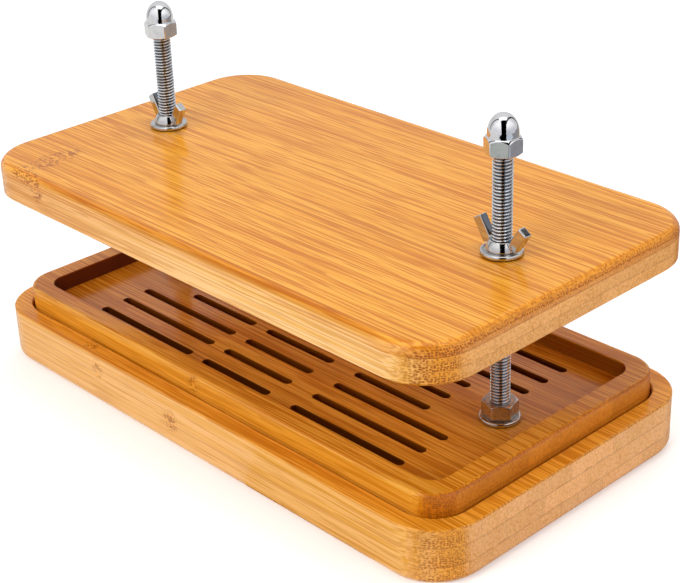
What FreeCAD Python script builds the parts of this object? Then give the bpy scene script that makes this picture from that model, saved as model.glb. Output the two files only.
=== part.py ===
import FreeCAD, Part
import os
import Sketcher
from FreeCAD import Placement, Rotation, Vector

# A tofu press. Three bamboo pieces are stacked on two long bolts: a drip tray at the bottom, a
# slotted strainer tray standing in it, and a press board that the wing nuts drive down.
#
# Millimetres, +Z up. The origin is the centre of the drip tray's underside, X runs along the
# trays and -Y is the long side that faces the user.

doc = FreeCAD.newDocument("tofu_press")

# ---------------------------------------------------------------------------------------------
# Driving dimensions
# ---------------------------------------------------------------------------------------------

sheet = doc.addObject("Spreadsheet::Sheet", "Sizes")
sizes = {
    # strainer tray
    "strainer_length": 196.2,  # along X
    "strainer_width": 101.2,  # along Y
    "strainer_height": 12.6,  # underside to rim
    "strainer_floor": 6.8,  # floor thickness
    "strainer_corner": 11,  # plan corner radius
    "strainer_end_wall": 7,  # wall at the short ends
    "strainer_side_wall": 6.4,  # wall along the long sides
    "strainer_inner_corner": 6,  # corner radius of the recess
    "strainer_rim_round": 1.1,  # rounded outer edge of the rim
    # drain slots in three columns
    "slot_width": 3,
    "slot_pitch": 9,  # row spacing
    "left_slot_margin": 20.6,  # end wall to the left column
    "right_slot_margin": 19.4,  # end wall to the right column
    "left_bolt_margin": 20.4,  # left bolt to the slots beside it
    "right_bolt_margin": 18.9,  # right bolt to the slots beside it
    "middle_slot_start": -16.9,  # middle column, from the middle of the tray
    "middle_slot_end": 14.4,
    "left_bridge": 6.1,  # solid floor between the left and the middle column
    "right_bridge": 10.3,  # solid floor between the middle and the right column
    # drip tray, which the strainer tray stands in
    "tray_gap": 0.65,  # play between the trays, each side
    "base_end_wall": 5.85,  # wall at the short ends
    "base_side_wall": 5.95,  # wall along the long sides
    "base_height": 18.2,  # underside to rim
    "base_corner": 16.9,  # plan corner radius
    "base_floor": 5,  # thickness under the well
    "base_bottom_round": 3,  # round along the underside
    "base_rim_ease": 0.4,  # broken edges of the rim
    "seat_height": 12.4,  # height of the ledge that carries the strainer tray
    "ledge_width": 6,
    "well_round": 2,  # cove along the bottom of the well
    # press board
    "board_end_overhang": 3.8,  # beyond the strainer tray, each end
    "board_side_overhang": 7.9,  # beyond the strainer tray, each side
    "board_thickness": 12,
    "board_corner": 17.5,  # plan corner radius
    "board_top_round": 3,  # round along the top
    "board_bottom_ease": 0.8,  # broken edge along the underside
    "board_hole": 7,  # holes for the bolts
    "board_lift": 41.9,  # strainer's floor to the board's underside, as it was left
    # bolts
    "bolt_inset": 23.1,  # end of the strainer tray to the bolt
    "bolt_back": 1.4,  # how far the line of the bolts stands behind the middle
    "bolt_diameter": 5.96,  # outside of the thread
    "bolt_length": 100,  # under the head
    "bolt_hole": 6.4,  # holes for the bolts in the strainer's floor
    "bolt_point": 0.8,  # chamfer at the end
    "head_height": 4,
    "hex_flats": 9.7,  # head and nuts, width across flats
    "hex_bevel": 0.9,  # how far the turned bevel cuts into a corner of a hexagon
    "hex_bevel_angle": 30,  # degrees, from the level face
    # washers
    "washer_diameter": 12.5,
    "washer_bore": 6.4,
    "washer_thickness": 1.6,
    "washer_edge": 0.25,  # broken edges
    # hex nuts and cap nuts
    "thread_clearance": 0.04,  # radial gap between a bolt and the thread of a nut
    "nut_height": 5,
    "cap_hex_height": 5.1,
    "cap_bevel": 0.95,  # the bevel under the dome is larger and steeper
    "cap_bevel_angle": 45,
    "cap_neck": 2.05,  # straight part of the dome
    "cap_diameter": 8.95,  # dome
    "cap_bore_depth": 8,
    "left_cap_engagement": 5.7,  # length of thread inside the left cap nut
    "right_cap_engagement": 7.45,  # length of thread inside the right cap nut
    # wing nuts
    "wing_body_diameter": 9.4,  # foot of the body
    "wing_body_top_diameter": 7,
    "wing_body_height": 3,
    "wing_foot": 0.5,  # straight foot of the body
    "wing_root": 4.5,  # middle of a wing's root, from the axis
    "wing_root_height": 1.2,
    "wing_reach": 8.6,  # middle of a wing's tip, from the axis
    "wing_height": 7.6,
    "wing_depth": 3.25,  # measured square to its length
    "wing_thickness": 2.55,
    "wing_round": 0.35,  # broken edges
    # how each piece was left standing, degrees from +X
    "left_wing_angle": -5.6,
    "right_wing_angle": -1.8,
    "left_cap_angle": 36.8,
    "right_cap_angle": 29.4,
    "left_nut_angle": 44.6,
    "right_nut_angle": 44.6,
}

next_row = 1


def cell(alias, value):
    """Give one dimension its row in the sheet, with its alias."""
    global next_row
    sheet.set("A%d" % next_row, alias)
    sheet.set("B%d" % next_row, value)
    sheet.setAlias("B%d" % next_row, alias)
    next_row += 1


for alias, value in sizes.items():
    cell(alias, str(value))
doc.recompute()

# What follows from them, kept in the same sheet.
follows = {
    "base_length": "=strainer_length + 2 * tray_gap + 2 * base_end_wall",
    "base_width": "=strainer_width + 2 * tray_gap + 2 * base_side_wall",
    "board_length": "=strainer_length + 2 * board_end_overhang",
    "board_width": "=strainer_width + 2 * board_side_overhang",
    "bolt_x": "=strainer_length / 2 - bolt_inset",
    "left_slot_start": "=strainer_end_wall + left_slot_margin - strainer_length / 2",
    "left_slot_short_start": "=left_bolt_margin - bolt_x",
    "left_slot_end": "=middle_slot_start - left_bridge",
    "right_slot_start": "=middle_slot_end + right_bridge",
    "right_slot_short_end": "=bolt_x - right_bolt_margin",
    "right_slot_end": "=strainer_length / 2 - strainer_end_wall - right_slot_margin",
    "floor_height": "=seat_height + strainer_floor",
    "board_underside": "=floor_height + board_lift",
    "board_top": "=board_underside + board_thickness",
    "bolt_seat": "=seat_height - washer_thickness",
    "bolt_end": "=bolt_seat + bolt_length",
    "nut_bore": "=bolt_diameter + 2 * thread_clearance",
}
for alias, formula in follows.items():
    cell(alias, formula)
    doc.recompute()


# ---------------------------------------------------------------------------------------------
# Helpers
# ---------------------------------------------------------------------------------------------


def new_body(name):
    body = doc.addObject("PartDesign::Body", name)
    body.Label = name
    return body


def origin_feature(body, role):
    return [f for f in body.Origin.OriginFeatures if f.Role == role][0]


def new_sketch(body, name, plane="XY_Plane", height=None):
    """A sketch on one of the body's own planes, raised along its normal by an expression."""
    sketch = body.newObject("Sketcher::SketchObject", body.Name + "_" + name)
    sketch.AttachmentSupport = [(origin_feature(body, plane), "")]
    sketch.MapMode = "FlatFace"
    if height is not None:
        sketch.setExpression("AttachmentOffset.Base.z", height)
    return sketch


def dimension(sketch, name, constraint, expression):
    """Add a named constraint and bind it to the sheet."""
    index = sketch.addConstraint(constraint)
    sketch.renameConstraint(index, name)
    sketch.setExpression("Constraints." + name, expression)
    return index


def plain(alias):
    """A cell's value, used only to draw a sketch near its final size."""
    value = sheet.get(alias)
    return float(getattr(value, "Value", value))


def closed_profile(sketch, points):
    """Straight lines from point to point and back to the first, joined end to end."""
    count = len(points)
    for i in range(count):
        a, b = points[i], points[(i + 1) % count]
        sketch.addGeometry(Part.LineSegment(Vector(a[0], a[1], 0), Vector(b[0], b[1], 0)), False)
    for i in range(count):
        sketch.addConstraint(Sketcher.Constraint("Coincident", i, 2, (i + 1) % count, 1))


def rounded_rectangle(sketch, length, width, radius):
    """A rectangle about the origin with equal round corners, bound to three expressions."""
    x, y, r = 60.0, 40.0, 8.0
    quarter = 1.5707963267948966
    corners = [(x - r, -y + r, -1), (x - r, y - r, 0), (-x + r, y - r, 1), (-x + r, -y + r, 2)]
    sides = [((-x + r, -y), (x - r, -y)), ((x, -y + r), (x, y - r)),
             ((x - r, y), (-x + r, y)), ((-x, y - r), (-x, -y + r))]
    for a, b in sides:
        sketch.addGeometry(Part.LineSegment(Vector(a[0], a[1], 0), Vector(b[0], b[1], 0)), False)
    for cx, cy, k in corners:
        circle = Part.Circle(Vector(cx, cy, 0), Vector(0, 0, 1), r)
        arc = Part.ArcOfCircle(circle, k * quarter, (k + 1) * quarter)
        sketch.addGeometry(arc, False)
    for i in range(4):
        sketch.addConstraint(Sketcher.Constraint("Tangent", i, 2, 4 + i, 1))
        sketch.addConstraint(Sketcher.Constraint("Tangent", 4 + i, 2, (i + 1) % 4, 1))
    for i in (0, 2):
        sketch.addConstraint(Sketcher.Constraint("Horizontal", i))
    for i in (1, 3):
        sketch.addConstraint(Sketcher.Constraint("Vertical", i))
    for i in (5, 6, 7):
        sketch.addConstraint(Sketcher.Constraint("Equal", 4, i))
    sketch.addConstraint(Sketcher.Constraint("Symmetric", 4, 3, 6, 3, -1, 1))
    dimension(sketch, "length", Sketcher.Constraint("DistanceX", 3, 1, 1, 2, 2 * x), length)
    dimension(sketch, "width", Sketcher.Constraint("DistanceY", 0, 1, 2, 2, 2 * y), width)
    dimension(sketch, "radius", Sketcher.Constraint("Radius", 4, r), radius)


def centred_circle(sketch, name, diameter):
    """A circle about the sketch's origin."""
    index = sketch.addGeometry(Part.Circle(Vector(0, 0, 0), Vector(0, 0, 1), 3), False)
    sketch.addConstraint(Sketcher.Constraint("Coincident", index, 3, -1, 1))
    dimension(sketch, name, Sketcher.Constraint("Diameter", index, 6), diameter)


def bolt_holes(body, diameter, back=None):
    """The two holes for the bolts, right through; back is how far they stand behind the middle."""
    sketch = new_sketch(body, "holes")
    for name, side in (("left", -1), ("right", 1)):
        centre = Vector(side * plain("bolt_x"), 1 if back else 0, 0)
        hole = sketch.addGeometry(Part.Circle(centre, Vector(0, 0, 1), 3), False)
        ends = (hole, 3, -1, 1) if side < 0 else (-1, 1, hole, 3)
        dimension(sketch, name + "_x", Sketcher.Constraint("DistanceX", *ends, plain("bolt_x")),
                  "Sizes.bolt_x")
        if back is None:
            sketch.addConstraint(Sketcher.Constraint("PointOnObject", hole, 3, -1))
        else:
            dimension(sketch, name + "_y", Sketcher.Constraint("DistanceY", -1, 1, hole, 3, 1),
                      back)
        dimension(sketch, name, Sketcher.Constraint("Diameter", hole, 6), diameter)
    body.Tip = pocket(body, "bolt_holes", sketch)


def hexagon(sketch, flats):
    """A regular hexagon about the origin with one pair of flats square to Y."""
    r = 5.7735
    points = [(r, 0), (r / 2, 5), (-r / 2, 5), (-r, 0), (-r / 2, -5), (r / 2, -5)]
    closed_profile(sketch, points)
    ring = sketch.addGeometry(Part.Circle(Vector(0, 0, 0), Vector(0, 0, 1), r), True)
    sketch.addConstraint(Sketcher.Constraint("Coincident", ring, 3, -1, 1))
    for i in range(6):
        sketch.addConstraint(Sketcher.Constraint("PointOnObject", i, 1, ring))
    for i in range(1, 6):
        sketch.addConstraint(Sketcher.Constraint("Equal", 0, i))
    sketch.addConstraint(Sketcher.Constraint("Horizontal", 1))
    dimension(sketch, "flats", Sketcher.Constraint("Distance", 4, 1, 1, 10.0), flats)


def slot(sketch, name, start, end, row):
    """A round-ended slot along X from start to end, a number of rows behind the middle."""
    r = plain("slot_width") / 2
    a, b, y = plain(start) + r, plain(end) - r, row * plain("slot_pitch")
    half = 1.5707963267948966
    left = Part.ArcOfCircle(Part.Circle(Vector(a, y, 0), Vector(0, 0, 1), r), half, 3 * half)
    right = Part.ArcOfCircle(Part.Circle(Vector(b, y, 0), Vector(0, 0, 1), r), -half, half)
    i = sketch.addGeometry(left, False)
    j = sketch.addGeometry(right, False)
    k = sketch.addGeometry(Part.LineSegment(Vector(a, y - r, 0), Vector(b, y - r, 0)), False)
    m = sketch.addGeometry(Part.LineSegment(Vector(b, y + r, 0), Vector(a, y + r, 0)), False)
    sketch.addConstraint(Sketcher.Constraint("Tangent", i, 2, k, 1))
    sketch.addConstraint(Sketcher.Constraint("Tangent", k, 2, j, 1))
    sketch.addConstraint(Sketcher.Constraint("Tangent", j, 2, m, 1))
    sketch.addConstraint(Sketcher.Constraint("Tangent", m, 2, i, 1))
    sketch.addConstraint(Sketcher.Constraint("Horizontal", k))
    dimension(sketch, name + "_radius", Sketcher.Constraint("Radius", i, r),
              "Sizes.slot_width / 2")
    dimension(sketch, name + "_start", Sketcher.Constraint("DistanceX", -1, 1, i, 3, a),
              "Sizes.%s + Sizes.slot_width / 2" % start)
    dimension(sketch, name + "_end", Sketcher.Constraint("DistanceX", -1, 1, j, 3, b),
              "Sizes.%s - Sizes.slot_width / 2" % end)
    ends = (i, 3, -1, 1) if row < 0 else (-1, 1, i, 3)
    dimension(sketch, name + "_row", Sketcher.Constraint("DistanceY", *ends, abs(y)),
              "%d * Sizes.slot_pitch" % abs(row))


def pad(body, name, sketch, length):
    feature = body.newObject("PartDesign::Pad", body.Name + "_" + name)
    feature.Profile = sketch
    feature.setExpression("Length", length)
    return feature


def pocket(body, name, sketch, length=None):
    """Cut down from the sketch by a length, or right through both ways when none is given."""
    feature = body.newObject("PartDesign::Pocket", body.Name + "_" + name)
    feature.Profile = sketch
    if length is None:
        feature.Type = "ThroughAll"
        feature.Midplane = True
    else:
        feature.Type = "Length"
        feature.setExpression("Length", length)
    return feature


def revolve(body, name, sketch, axis="V_Axis", cut=False):
    kind = "PartDesign::Groove" if cut else "PartDesign::Revolution"
    feature = body.newObject(kind, body.Name + "_" + name)
    feature.Profile = sketch
    feature.ReferenceAxis = (sketch, [axis])
    feature.Angle = 360.0
    return feature


def edges_at(feature, test):
    """Names of the feature's edges whose every corner and middle pass the test."""
    names = []
    for i, edge in enumerate(feature.Shape.Edges, 1):
        middle = edge.valueAt((edge.FirstParameter + edge.LastParameter) / 2)
        points = [v.Point for v in edge.Vertexes] + [middle]
        if all(test(p) for p in points):
            names.append("Edge%d" % i)
    return names


def dress(body, kind, name, base, edges, prop, expression):
    """A fillet or a chamfer on the given edges of the last feature."""
    feature = body.newObject("PartDesign::" + kind, body.Name + "_" + name)
    feature.Base = (base, edges)
    feature.setExpression(prop, expression)
    return feature


def near(a, b):
    return abs(a - b) < 1e-4


def place(body, x=None, y=None, z=None, angle=None):
    """Stand a body at its place in the press, turned about its own upright axis."""
    for axis, expression in (("x", x), ("y", y), ("z", z)):
        if expression is not None:
            body.setExpression("Placement.Base." + axis, expression)
    if angle is not None:
        body.Placement.Rotation = Rotation(Vector(0, 0, 1), 1.0)
        body.setExpression("Placement.Rotation.Angle", angle)


# ---------------------------------------------------------------------------------------------
# Drip tray: a routed slab with a ledge for the strainer tray and a well for the whey
# ---------------------------------------------------------------------------------------------

base_tray = new_body("base_tray")
outline = new_sketch(base_tray, "outline")
rounded_rectangle(outline, "Sizes.base_length", "Sizes.base_width", "Sizes.base_corner")
slab = pad(base_tray, "slab", outline, "Sizes.base_height")

opening = new_sketch(base_tray, "opening", height="Sizes.base_height")
rounded_rectangle(opening, "Sizes.strainer_length + 2 * Sizes.tray_gap",
                  "Sizes.strainer_width + 2 * Sizes.tray_gap",
                  "Sizes.strainer_corner + Sizes.tray_gap")
ledge = pocket(base_tray, "ledge", opening, "Sizes.base_height - Sizes.seat_height")

drain = new_sketch(base_tray, "drain", height="Sizes.seat_height")
rounded_rectangle(drain,
                  "Sizes.strainer_length + 2 * Sizes.tray_gap - 2 * Sizes.ledge_width",
                  "Sizes.strainer_width + 2 * Sizes.tray_gap - 2 * Sizes.ledge_width",
                  "Sizes.strainer_corner + Sizes.tray_gap - Sizes.ledge_width / 2")
well = pocket(base_tray, "well", drain, "Sizes.seat_height - Sizes.base_floor")
doc.recompute()

well_edges = edges_at(well, lambda p: near(p.z, plain("base_floor")))
cove = dress(base_tray, "Fillet", "cove", well, well_edges, "Radius", "Sizes.well_round")
doc.recompute()
under_edges = edges_at(cove, lambda p: near(p.z, 0))
under = dress(base_tray, "Fillet", "under", cove, under_edges, "Radius",
              "Sizes.base_bottom_round")
doc.recompute()
rim_edges = edges_at(under, lambda p: near(p.z, plain("base_height")))
dress(base_tray, "Chamfer", "rim", under, rim_edges, "Size", "Sizes.base_rim_ease")

# ---------------------------------------------------------------------------------------------
# Strainer tray: a shallow recess, three columns of drain slots and the two bolt holes
# ---------------------------------------------------------------------------------------------

strainer_tray = new_body("strainer_tray")
outline = new_sketch(strainer_tray, "outline")
rounded_rectangle(outline, "Sizes.strainer_length", "Sizes.strainer_width",
                  "Sizes.strainer_corner")
slab = pad(strainer_tray, "slab", outline, "Sizes.strainer_height")
doc.recompute()
top_edges = edges_at(slab, lambda p: near(p.z, plain("strainer_height")))
rim = dress(strainer_tray, "Fillet", "rim", slab, top_edges, "Radius",
            "Sizes.strainer_rim_round")

opening = new_sketch(strainer_tray, "opening", height="Sizes.strainer_height")
rounded_rectangle(opening, "Sizes.strainer_length - 2 * Sizes.strainer_end_wall",
                  "Sizes.strainer_width - 2 * Sizes.strainer_side_wall",
                  "Sizes.strainer_inner_corner")
recess = pocket(strainer_tray, "recess", opening,
                "Sizes.strainer_height - Sizes.strainer_floor")


def slot_rows(name, columns, first, rows):
    """Rows of slots along Y: one sketched row, repeated at the row spacing."""
    sketch = new_sketch(strainer_tray, name)
    for i, (start, end) in enumerate(columns):
        slot(sketch, "column%d" % i, start, end, first)
    cut = pocket(strainer_tray, name + "_cut", sketch)
    repeat = strainer_tray.newObject("PartDesign::LinearPattern",
                                     strainer_tray.Name + "_" + name + "_rows")
    repeat.Originals = [cut]
    repeat.Direction = (sketch, ["V_Axis"])
    repeat.Occurrences = rows
    repeat.setExpression("Length", "%d * Sizes.slot_pitch" % (rows - 1))
    strainer_tray.Tip = repeat
    return repeat


middle_column = [("middle_slot_start", "middle_slot_end")]
long_columns = [("left_slot_start", "left_slot_end"), ("right_slot_start", "right_slot_end")]
short_columns = [("left_slot_short_start", "left_slot_end"),
                 ("right_slot_start", "right_slot_short_end")]
slot_rows("middle_slots", middle_column, -4, 9)
slot_rows("front_slots", long_columns, -4, 3)
slot_rows("bolt_slots", short_columns, -1, 3)
slot_rows("back_slots", long_columns, 2, 3)

bolt_holes(strainer_tray, "Sizes.bolt_hole", "Sizes.bolt_back")
place(strainer_tray, z="Sizes.seat_height")

# ---------------------------------------------------------------------------------------------
# Press board
# ---------------------------------------------------------------------------------------------

press_board = new_body("press_board")
outline = new_sketch(press_board, "outline")
rounded_rectangle(outline, "Sizes.board_length", "Sizes.board_width", "Sizes.board_corner")
slab = pad(press_board, "slab", outline, "Sizes.board_thickness")
doc.recompute()
top_edges = edges_at(slab, lambda p: near(p.z, plain("board_thickness")))
top = dress(press_board, "Fillet", "top", slab, top_edges, "Radius", "Sizes.board_top_round")
doc.recompute()
under_edges = edges_at(top, lambda p: near(p.z, 0))
dress(press_board, "Chamfer", "under", top, under_edges, "Size", "Sizes.board_bottom_ease")
bolt_holes(press_board, "Sizes.board_hole")
place(press_board, y="Sizes.bolt_back", z="Sizes.board_underside")


# ---------------------------------------------------------------------------------------------
# Bolts and nuts
# ---------------------------------------------------------------------------------------------


def hex_bevel(body, name, height, top=True, bevel="hex_bevel"):
    """Turn the corners of a hexagon off at an angle, at its top or at its foot."""
    sketch = new_sketch(body, name, "XZ_Plane")
    r, z, s = 5.8, 5.0 if top else 0.0, -1 if top else 1
    inner, outer, drop = r - 0.75, r + 0.6, 1.35 * 0.57735
    closed_profile(sketch, [(inner, z), (outer, z), (outer, z + s * drop)])
    sketch.addConstraint(Sketcher.Constraint("Horizontal", 0))
    sketch.addConstraint(Sketcher.Constraint("Vertical", 1))
    across = "Sizes.hex_flats * 0.57735"
    dimension(sketch, "inner", Sketcher.Constraint("DistanceX", -1, 1, 0, 1, inner),
              across + " - Sizes." + bevel)
    dimension(sketch, "outer", Sketcher.Constraint("DistanceX", -1, 1, 0, 2, outer),
              across + " + Sizes." + bevel)
    fall = "2 * Sizes.%s * tan(Sizes.%s_angle * 1 deg)" % (bevel, bevel)
    if top:
        dimension(sketch, "level", Sketcher.Constraint("DistanceY", -1, 1, 0, 1, z), height)
        dimension(sketch, "fall", Sketcher.Constraint("DistanceY", 1, 2, 1, 1, drop), fall)
    else:
        sketch.addConstraint(Sketcher.Constraint("PointOnObject", 0, 1, -1))
        dimension(sketch, "fall", Sketcher.Constraint("DistanceY", 1, 1, 1, 2, drop), fall)
    return revolve(body, name + "_turned", sketch, cut=True)


def bolt(name):
    """A hex bolt from below: the head hangs under its seat and the shank stands on it."""
    body = new_body(name)
    shank = new_sketch(body, "shank")
    centred_circle(shank, "diameter", "Sizes.bolt_diameter")
    rod = pad(body, "rod", shank, "Sizes.head_height + Sizes.bolt_length")
    doc.recompute()
    point = edges_at(rod, lambda p: near(p.z, plain("head_height") + plain("bolt_length")))
    dress(body, "Chamfer", "point", rod, point, "Size", "Sizes.bolt_point")
    outline = new_sketch(body, "hexagon")
    hexagon(outline, "Sizes.hex_flats")
    pad(body, "head", outline, "Sizes.head_height")
    body.Tip = hex_bevel(body, "bevel", "Sizes.head_height", top=False)
    return body


def hex_nut(name):
    body = new_body(name)
    outline = new_sketch(body, "hexagon")
    hexagon(outline, "Sizes.hex_flats")
    pad(body, "hex", outline, "Sizes.nut_height")
    hex_bevel(body, "top", "Sizes.nut_height", top=True)
    hex_bevel(body, "foot", "Sizes.nut_height", top=False)
    bore = new_sketch(body, "bore")
    centred_circle(bore, "diameter", "Sizes.nut_bore")
    body.Tip = pocket(body, "thread", bore)
    return body


def washer(name):
    body = new_body(name)
    ring = new_sketch(body, "ring")
    centred_circle(ring, "outside", "Sizes.washer_diameter")
    centred_circle(ring, "bore", "Sizes.washer_bore")
    disc = pad(body, "disc", ring, "Sizes.washer_thickness")
    doc.recompute()
    rim = edges_at(disc, lambda p: near(Vector(p.x, p.y, 0).Length,
                                        plain("washer_diameter") / 2)
                   and (near(p.z, 0) or near(p.z, plain("washer_thickness"))))
    body.Tip = dress(body, "Chamfer", "edge", disc, rim, "Size", "Sizes.washer_edge")
    return body


def cap_nut(name):
    """A hexagon with a domed cap over a blind thread."""
    body = new_body(name)
    outline = new_sketch(body, "hexagon")
    hexagon(outline, "Sizes.hex_flats")
    pad(body, "hex", outline, "Sizes.cap_hex_height")
    hex_bevel(body, "top", "Sizes.cap_hex_height", top=True, bevel="cap_bevel")
    hex_bevel(body, "foot", "Sizes.cap_hex_height", top=False)

    dome = new_sketch(body, "dome", "XZ_Plane")
    r, low, neck = 4.75, 5.2, 1.3
    quarter = 1.5707963267948966
    dome.addGeometry(Part.LineSegment(Vector(0, low - 1, 0), Vector(r, low - 1, 0)), False)
    dome.addGeometry(Part.LineSegment(Vector(r, low - 1, 0), Vector(r, low + neck, 0)), False)
    arc = Part.Circle(Vector(0, low + neck, 0), Vector(0, 0, 1), r)
    dome.addGeometry(Part.ArcOfCircle(arc, 0, quarter), False)
    dome.addGeometry(Part.LineSegment(Vector(0, low + neck + r, 0), Vector(0, low - 1, 0)), False)
    dome.addConstraint(Sketcher.Constraint("Coincident", 0, 2, 1, 1))
    dome.addConstraint(Sketcher.Constraint("Tangent", 1, 2, 2, 1))
    dome.addConstraint(Sketcher.Constraint("Coincident", 2, 2, 3, 1))
    dome.addConstraint(Sketcher.Constraint("Coincident", 3, 2, 0, 1))
    dome.addConstraint(Sketcher.Constraint("Horizontal", 0))
    dome.addConstraint(Sketcher.Constraint("Vertical", 1))
    dome.addConstraint(Sketcher.Constraint("PointOnObject", 0, 1, -2))
    dome.addConstraint(Sketcher.Constraint("PointOnObject", 2, 3, -2))
    dome.addConstraint(Sketcher.Constraint("PointOnObject", 2, 2, -2))
    dimension(dome, "foot", Sketcher.Constraint("DistanceY", -1, 1, 0, 1, low - 1),
              "Sizes.cap_hex_height / 2")
    dimension(dome, "neck", Sketcher.Constraint("DistanceY", -1, 1, 2, 3, low + neck),
              "Sizes.cap_hex_height + Sizes.cap_neck")
    dimension(dome, "radius", Sketcher.Constraint("Radius", 2, r), "Sizes.cap_diameter / 2")
    revolve(body, "cap", dome)

    bore = new_sketch(body, "bore")
    centred_circle(bore, "diameter", "Sizes.nut_bore")
    thread = pocket(body, "thread", bore, "Sizes.cap_bore_depth")
    thread.Reversed = True
    body.Tip = thread
    return body


def wing_nut(name):
    """A conical body with two square wings that rise from it and spread outwards."""
    body = new_body(name)
    cone = new_sketch(body, "cone", "XZ_Plane")
    closed_profile(cone, [(0, 0), (4.7, 0), (4.7, 0.5), (3.5, 3), (0, 3)])
    cone.addConstraint(Sketcher.Constraint("Coincident", 0, 1, -1, 1))
    cone.addConstraint(Sketcher.Constraint("Horizontal", 0))
    cone.addConstraint(Sketcher.Constraint("Vertical", 1))
    cone.addConstraint(Sketcher.Constraint("Horizontal", 3))
    cone.addConstraint(Sketcher.Constraint("Vertical", 4))
    dimension(cone, "foot_radius", Sketcher.Constraint("DistanceX", 0, 1, 0, 2, 4.7),
              "Sizes.wing_body_diameter / 2")
    dimension(cone, "top_radius", Sketcher.Constraint("DistanceX", 3, 2, 3, 1, 3.5),
              "Sizes.wing_body_top_diameter / 2")
    dimension(cone, "foot", Sketcher.Constraint("DistanceY", 1, 1, 1, 2, 0.5),
              "Sizes.wing_foot")
    dimension(cone, "height", Sketcher.Constraint("DistanceY", 4, 2, 4, 1, 3),
              "Sizes.wing_body_height")
    revolve(body, "turned", cone)

    # the wing's profile: a bar about a slanted middle line, square at its tip
    wing = new_sketch(body, "wing", "XZ_Plane")
    root, rise = plain("wing_root"), plain("wing_root_height")
    reach, tip = plain("wing_reach"), plain("wing_height")
    along = Vector(reach - root, tip - rise, 0).normalize()
    across = Vector(along.y, -along.x, 0) * (plain("wing_depth") / 2)
    low, high = Vector(root, rise, 0), Vector(reach, tip, 0)
    outer_low, outer_high = low + across, high + across
    inner_high, inner_low = high - across, low - across
    closed_profile(wing, [(p.x, p.y) for p in (outer_low, outer_high, inner_high, inner_low)])
    middle = wing.addGeometry(Part.LineSegment(low, high), True)
    wing.addConstraint(Sketcher.Constraint("Symmetric", 0, 1, 2, 2, middle, 1))
    wing.addConstraint(Sketcher.Constraint("Symmetric", 0, 2, 1, 2, middle, 2))
    wing.addConstraint(Sketcher.Constraint("Perpendicular", 1, middle))
    wing.addConstraint(Sketcher.Constraint("Perpendicular", 3, middle))
    dimension(wing, "root", Sketcher.Constraint("DistanceX", -1, 1, middle, 1, low.x),
              "Sizes.wing_root")
    dimension(wing, "rise", Sketcher.Constraint("DistanceY", -1, 1, middle, 1, low.y),
              "Sizes.wing_root_height")
    dimension(wing, "reach", Sketcher.Constraint("DistanceX", -1, 1, middle, 2, high.x),
              "Sizes.wing_reach")
    dimension(wing, "tip", Sketcher.Constraint("DistanceY", -1, 1, middle, 2, high.y),
              "Sizes.wing_height")
    dimension(wing, "depth", Sketcher.Constraint("Distance", 1, 1, 1, 2, 3.2),
              "Sizes.wing_depth")
    bar = pad(body, "bar", wing, "Sizes.wing_thickness")
    bar.Midplane = True
    pair = body.newObject("PartDesign::PolarPattern", body.Name + "_pair")
    pair.Originals = [bar]
    pair.Axis = (wing, ["V_Axis"])
    pair.Occurrences = 2
    pair.Angle = 360.0
    body.Tip = pair
    doc.recompute()

    top = plain("wing_body_height") + 0.5
    tips = edges_at(pair, lambda p: p.z > top and abs(p.x) > plain("wing_root"))
    eased = dress(body, "Fillet", "eased", pair, tips, "Radius", "Sizes.wing_round")
    body.Tip = eased
    bore = new_sketch(body, "bore")
    centred_circle(bore, "diameter", "Sizes.nut_bore")
    body.Tip = pocket(body, "thread", bore)
    return body


def stand_on_bolt(piece, side, z, angle=None):
    """Centre a piece on one of the bolts at a height, turned as it was left."""
    x = "Sizes.bolt_x" if side == "right" else "-Sizes.bolt_x"
    turn = "Sizes.%s_%s_angle * 1 deg" % (side, angle) if angle else None
    place(piece, x, "Sizes.bolt_back", z, turn)


for side in ("left", "right"):
    stand_on_bolt(bolt("bolt_" + side), side, "Sizes.bolt_seat - Sizes.head_height", "nut")
    stand_on_bolt(washer("bolt_washer_" + side), side, "Sizes.bolt_seat")
    stand_on_bolt(washer("floor_washer_" + side), side, "Sizes.floor_height")
    stand_on_bolt(hex_nut("hex_nut_" + side), side,
                  "Sizes.floor_height + Sizes.washer_thickness", "nut")
    stand_on_bolt(washer("press_washer_" + side), side, "Sizes.board_top")
    stand_on_bolt(wing_nut("wing_nut_" + side), side,
                  "Sizes.board_top + Sizes.washer_thickness", "wing")
    stand_on_bolt(cap_nut("cap_nut_" + side), side,
                  "Sizes.bolt_end - Sizes.%s_cap_engagement" % side, "cap")

# ---------------------------------------------------------------------------------------------
# Check and export
# ---------------------------------------------------------------------------------------------

doc.recompute()
for item in doc.Objects:
    if "Invalid" in item.State or "Error" in item.State:
        raise RuntimeError("%s failed: %s" % (item.Name, item.State))

bodies = [o for o in doc.Objects if o.TypeId == "PartDesign::Body"]
for body in bodies:
    if body.Shape.isNull() or not body.Shape.isValid() or len(body.Shape.Solids) != 1:
        raise RuntimeError("%s has no single valid solid" % body.Label)
    print("%-20s volume %10.1f  height %7.2f to %7.2f" % (
        body.Label, body.Shape.Volume, body.Shape.BoundBox.ZMin, body.Shape.BoundBox.ZMax))
    for feature in body.Group:
        if feature.TypeId in ("PartDesign::Pocket", "PartDesign::Groove",
                              "PartDesign::LinearPattern"):
            before = feature.BaseFeature.Shape.Volume
            if feature.Shape.Volume > before - 1e-3:
                raise RuntimeError("%s cuts nothing" % feature.Name)

os.makedirs("parts", exist_ok=True)
for body in bodies:
    body.Shape.exportStep("parts/%s.step" % body.Label)
print("%d pieces written" % len(bodies))
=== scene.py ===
import math
from collections import namedtuple

import bpy
from bpy.props import FloatProperty, FloatVectorProperty, IntProperty, PointerProperty
from bpy.types import Operator, Panel, PropertyGroup
from mathutils import Matrix, Vector


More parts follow.
